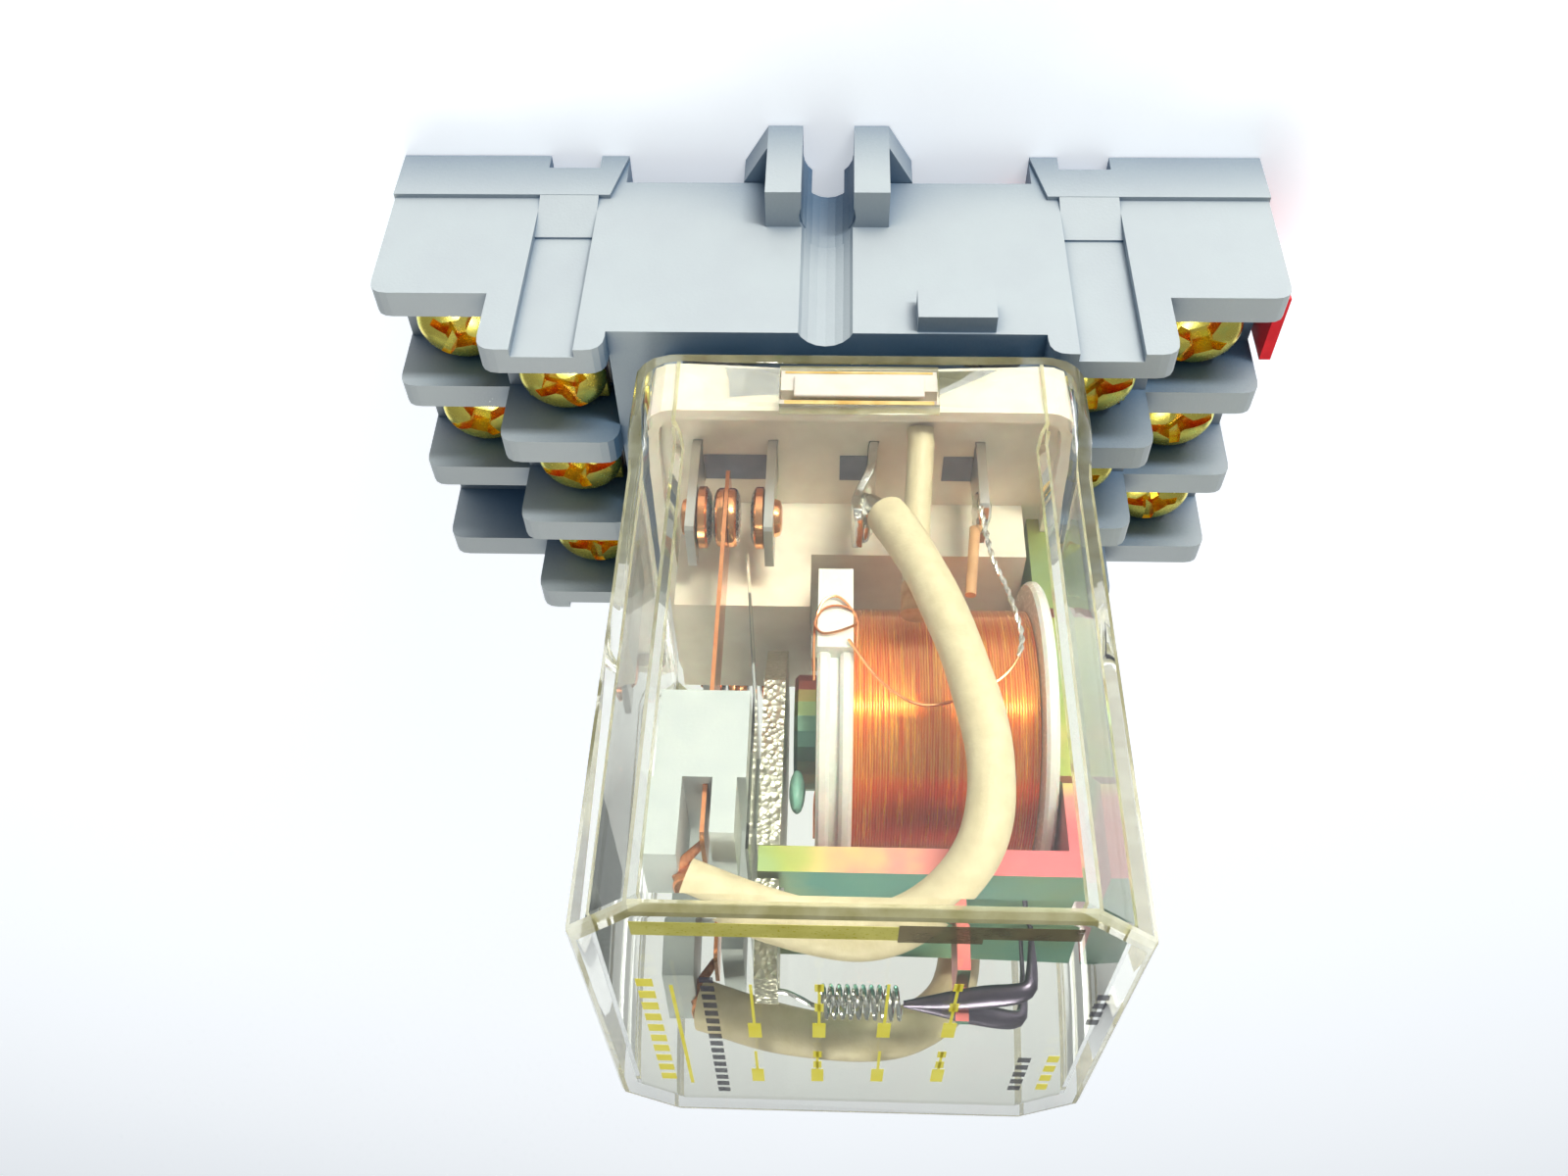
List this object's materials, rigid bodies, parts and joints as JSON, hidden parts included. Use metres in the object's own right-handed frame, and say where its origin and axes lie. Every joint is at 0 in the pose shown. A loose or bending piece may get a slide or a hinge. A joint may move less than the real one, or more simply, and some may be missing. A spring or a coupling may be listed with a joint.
{
  "type": "industrial control relay",
  "caption": "Clear-cased two-pole control relay plugged into a screw-terminal socket, with hinged armature, coil, changeover contacts and a rail latch.",
  "frame": {"origin": "middle of the socket's underside, on the mounting face", "axes": "+Z along the plug axis, away from the mounting face; +X along the socket's length, towards the contact side; the printed long side of the relay faces -Y"},
  "size_m": [0.0781, 0.0422, 0.0732],
  "materials": {
    "socket_grey": "fine matte moulding",
    "latch_red": "smooth red moulding",
    "screw_plated": "yellow iridescent zinc plating",
    "strip_tinned": "tinned",
    "spring_steel": "bright drawn wire",
    "cover_clear": "clear, slightly yellow",
    "base_ivory": "ivory moulding",
    "actuator_grey": "pale grey moulding",
    "leaf_clear": "thin clear film",
    "steel_nickel": "rough nickel plating",
    "steel_chromated": "yellow iridescent zinc plating",
    "bobbin_white": "smooth white moulding",
    "winding_copper": "enamelled copper wire",
    "copper": "bare copper",
    "blade_tinned": "tinned, solder on the tags",
    "link_steel": "dark tempered steel",
    "sleeve_cream": "soft cream sleeve"
  },
  "bodies": {
    "socket": {"socket_body": "socket_grey", "bottom_plate": "socket_grey", "latch_spring": "spring_steel", "terminal_strip_01": "strip_tinned", "terminal_strip_02": "strip_tinned", "terminal_strip_03": "strip_tinned", "terminal_strip_04": "strip_tinned", "terminal_strip_05": "strip_tinned", "terminal_strip_06": "strip_tinned", "terminal_strip_07": "strip_tinned", "terminal_strip_08": "strip_tinned", "terminal_strip_09": "strip_tinned", "terminal_strip_10": "strip_tinned", "terminal_strip_11": "strip_tinned"},
    "latch": {"rail_latch": "latch_red"},
    "relay": {"cover": "cover_clear", "relay_base": "base_ivory", "blade_nc_a": "blade_tinned", "blade_nc_b": "blade_tinned", "blade_no_a": "blade_tinned", "blade_no_b": "blade_tinned", "blade_com_a": "blade_tinned", "blade_com_b": "blade_tinned", "blade_coil_a": "blade_tinned", "blade_coil_b": "blade_tinned", "fixed_contact_nc_a": "copper", "fixed_contact_nc_b": "copper", "fixed_contact_no_a": "copper", "fixed_contact_no_b": "copper", "yoke": "steel_chromated", "core": "steel_chromated", "bobbin": "bobbin_white", "winding": "winding_copper", "return_spring": "spring_steel", "spring_link": "link_steel", "lead_a": "sleeve_cream", "lead_b": "sleeve_cream", "coil_wire_a": "copper", "coil_wire_b": "copper", "lead_sleeve": "sleeve_cream"},
    "armature": {"armature": "steel_nickel", "actuator": "actuator_grey", "insulating_leaf": "leaf_clear", "contact_arm_a": "copper", "contact_arm_b": "copper", "moving_contact_a": "copper", "moving_contact_b": "copper"},
    "screw_01": {"terminal_screw_01": "screw_plated"},
    "screw_02": {"terminal_screw_02": "screw_plated"},
    "screw_03": {"terminal_screw_03": "screw_plated"},
    "screw_04": {"terminal_screw_04": "screw_plated"},
    "screw_05": {"terminal_screw_05": "screw_plated"},
    "screw_06": {"terminal_screw_06": "screw_plated"},
    "screw_07": {"terminal_screw_07": "screw_plated"},
    "screw_08": {"terminal_screw_08": "screw_plated"},
    "screw_09": {"terminal_screw_09": "screw_plated"},
    "screw_10": {"terminal_screw_10": "screw_plated"},
    "screw_11": {"terminal_screw_11": "screw_plated"}
  },
  "joints": [
    {"name": "latch_slide", "type": "slide", "parent": "socket", "child": "latch", "axis": [-1, 0, 0], "range_m": [0, 0.0025], "stiffness_N_per_m": 500, "springref_m": -0.002, "deforming": ["latch_spring"]},
    {"name": "relay_plug", "type": "slide", "parent": "socket", "child": "relay", "axis": [0, 0, 1], "range_m": [0, 0.012]},
    {"name": "armature_hinge", "type": "hinge", "parent": "relay", "child": "armature", "pos_m": [0.00335, 0, 0.0642], "axis": [0, 1, 0], "range_deg": [0, 1.4], "stiffness_Nm_per_rad": 0.3, "springref_deg": -2.29, "deforming": ["return_spring"]},
    {"name": "screw_01_lift", "type": "slide", "parent": "socket", "child": "screw_01", "axis": [0, 0, 1], "range_m": [0, 0.0025]},
    {"name": "screw_02_lift", "type": "slide", "parent": "socket", "child": "screw_02", "axis": [0, 0, 1], "range_m": [0, 0.0025]},
    {"name": "screw_03_lift", "type": "slide", "parent": "socket", "child": "screw_03", "axis": [0, 0, 1], "range_m": [0, 0.0025]},
    {"name": "screw_04_lift", "type": "slide", "parent": "socket", "child": "screw_04", "axis": [0, 0, 1], "range_m": [0, 0.0025]},
    {"name": "screw_05_lift", "type": "slide", "parent": "socket", "child": "screw_05", "axis": [0, 0, 1], "range_m": [0, 0.0025]},
    {"name": "screw_06_lift", "type": "slide", "parent": "socket", "child": "screw_06", "axis": [0, 0, 1], "range_m": [0, 0.0025]},
    {"name": "screw_07_lift", "type": "slide", "parent": "socket", "child": "screw_07", "axis": [0, 0, 1], "range_m": [0, 0.0025]},
    {"name": "screw_08_lift", "type": "slide", "parent": "socket", "child": "screw_08", "axis": [0, 0, 1], "range_m": [0, 0.0025]},
    {"name": "screw_09_lift", "type": "slide", "parent": "socket", "child": "screw_09", "axis": [0, 0, 1], "range_m": [0, 0.0025]},
    {"name": "screw_10_lift", "type": "slide", "parent": "socket", "child": "screw_10", "axis": [0, 0, 1], "range_m": [0, 0.0025]},
    {"name": "screw_11_lift", "type": "slide", "parent": "socket", "child": "screw_11", "axis": [0, 0, 1], "range_m": [0, 0.0025]}
  ]
}
